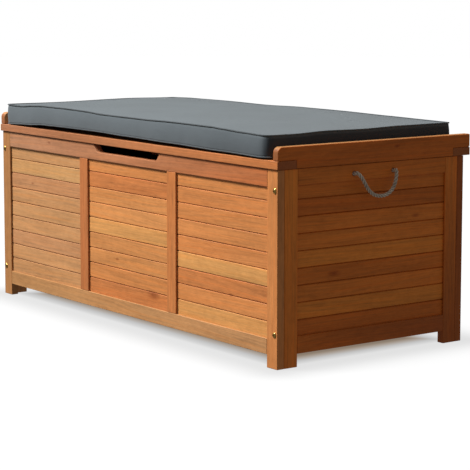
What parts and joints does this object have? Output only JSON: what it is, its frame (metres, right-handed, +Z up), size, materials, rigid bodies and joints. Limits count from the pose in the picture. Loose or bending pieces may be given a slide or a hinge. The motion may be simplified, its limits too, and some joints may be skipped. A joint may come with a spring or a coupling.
{
  "type": "deck storage box",
  "caption": "Slatted wooden deck storage box with a hinged lid on gas struts, a piped seat cushion and rope handles.",
  "frame": {"origin": "on the ground under the middle of the lid, which is the middle of the whole object's box", "axes": "+X along the box to the right when seen from its front, +Y to its back, +Z up; the front is -Y"},
  "size_m": [1.2864, 0.588, 0.5368],
  "materials": {
    "oiled_wood": "oiled hardwood, satin",
    "inner_wood": "oiled hardwood, drier, satin",
    "cushion_fabric": "woven polyester, matt",
    "rope": "three-strand twisted cord, matt",
    "brass": "polished",
    "zinc_steel": "zinc plated",
    "black_steel": "black lacquer, satin"
  },
  "bodies": {
    "root": {"back_bottom_rail": "oiled_wood", "back_mullion_left": "oiled_wood", "back_mullion_right": "oiled_wood", "back_slats_left": "oiled_wood", "back_slats_middle": "oiled_wood", "back_slats_right": "oiled_wood", "back_stile_left": "oiled_wood", "back_stile_right": "oiled_wood", "back_top_rail": "oiled_wood", "bolt_left_lower": "brass", "bolt_left_upper": "brass", "bolt_right_lower": "brass", "bolt_right_upper": "brass", "floor_boards": "inner_wood", "floor_cleat_back": "inner_wood", "floor_cleat_front": "inner_wood", "front_bottom_rail": "oiled_wood", "front_mullion_left": "oiled_wood", "front_mullion_right": "oiled_wood", "front_slats_left": "oiled_wood", "front_slats_middle": "oiled_wood", "front_slats_right": "oiled_wood", "front_stile_left": "oiled_wood", "front_stile_right": "oiled_wood", "front_top_rail": "oiled_wood", "hinge_left_body_leaf": "zinc_steel", "hinge_left_pin": "zinc_steel", "hinge_right_body_leaf": "zinc_steel", "hinge_right_pin": "zinc_steel", "side_left_bottom_rail": "oiled_wood", "side_left_slats": "oiled_wood", "side_left_stile_back": "oiled_wood", "side_left_stile_front": "oiled_wood", "side_left_top_rail": "oiled_wood", "side_right_bottom_rail": "oiled_wood", "side_right_slats": "oiled_wood", "side_right_stile_back": "oiled_wood", "side_right_stile_front": "oiled_wood", "side_right_top_rail": "oiled_wood", "strut_left_body_bracket": "zinc_steel", "strut_right_body_bracket": "zinc_steel"},
    "lid": {"hinge_left_lid_leaf": "zinc_steel", "hinge_right_lid_leaf": "zinc_steel", "lid_back_rail": "oiled_wood", "lid_batten_left": "inner_wood", "lid_batten_middle": "inner_wood", "lid_batten_right": "inner_wood", "lid_boards": "inner_wood", "lid_front_rail": "oiled_wood", "lid_side_board_left": "oiled_wood", "lid_side_board_right": "oiled_wood", "strut_left_lid_bracket": "zinc_steel", "strut_right_lid_bracket": "zinc_steel"},
    "cushion": {"cushion": "cushion_fabric"},
    "handle_left": {"rope_handle_left": "rope"},
    "handle_right": {"rope_handle_right": "rope"},
    "strut_left_cylinder": {"strut_left_cylinder": "black_steel"},
    "strut_left_rod": {"strut_left_rod": "zinc_steel"},
    "strut_right_cylinder": {"strut_right_cylinder": "black_steel"},
    "strut_right_rod": {"strut_right_rod": "zinc_steel"}
  },
  "joints": [
    {"name": "lid_hinge", "type": "hinge", "parent": "root", "child": "lid", "pos_m": [0, 0.2825, 0.455], "axis": [-1, 0, 0], "range_deg": [0, 80]},
    {"name": "cushion_lift", "type": "slide", "parent": "lid", "child": "cushion", "axis": [0, 0, 1], "range_m": [0, 0.15]},
    {"name": "strut_left_pivot", "type": "hinge", "parent": "root", "child": "strut_left_cylinder", "pos_m": [-0.586, 0.234, 0.2295], "axis": [-1, 0, 0], "range_deg": [0, 21]},
    {"name": "strut_left_stroke", "type": "slide", "parent": "strut_left_cylinder", "child": "strut_left_rod", "axis": [0, -0.3286, 0.9445], "range_m": [0, 0.125]},
    {"name": "strut_right_pivot", "type": "hinge", "parent": "root", "child": "strut_right_cylinder", "pos_m": [0.586, 0.234, 0.2295], "axis": [-1, 0, 0], "range_deg": [0, 21]},
    {"name": "strut_right_stroke", "type": "slide", "parent": "strut_right_cylinder", "child": "strut_right_rod", "axis": [0, -0.3286, 0.9445], "range_m": [0, 0.125]},
    {"name": "handle_left_swing", "type": "hinge", "parent": "root", "child": "handle_left", "pos_m": [-0.6203, -0.006, 0.4374], "axis": [0, 1, 0], "range_deg": [0, 90]},
    {"name": "handle_right_swing", "type": "hinge", "parent": "root", "child": "handle_right", "pos_m": [0.6203, -0.006, 0.4374], "axis": [0, -1, 0], "range_deg": [0, 90]}
  ],
  "couplings": [
    {"joint": "strut_left_pivot", "follows": "lid_hinge", "ratio": 0.25657},
    {"joint": "strut_left_stroke", "follows": "lid_hinge", "m_per_rad": 0.087887},
    {"joint": "strut_right_pivot", "follows": "lid_hinge", "ratio": 0.25657},
    {"joint": "strut_right_stroke", "follows": "lid_hinge", "m_per_rad": 0.087887}
  ]
}
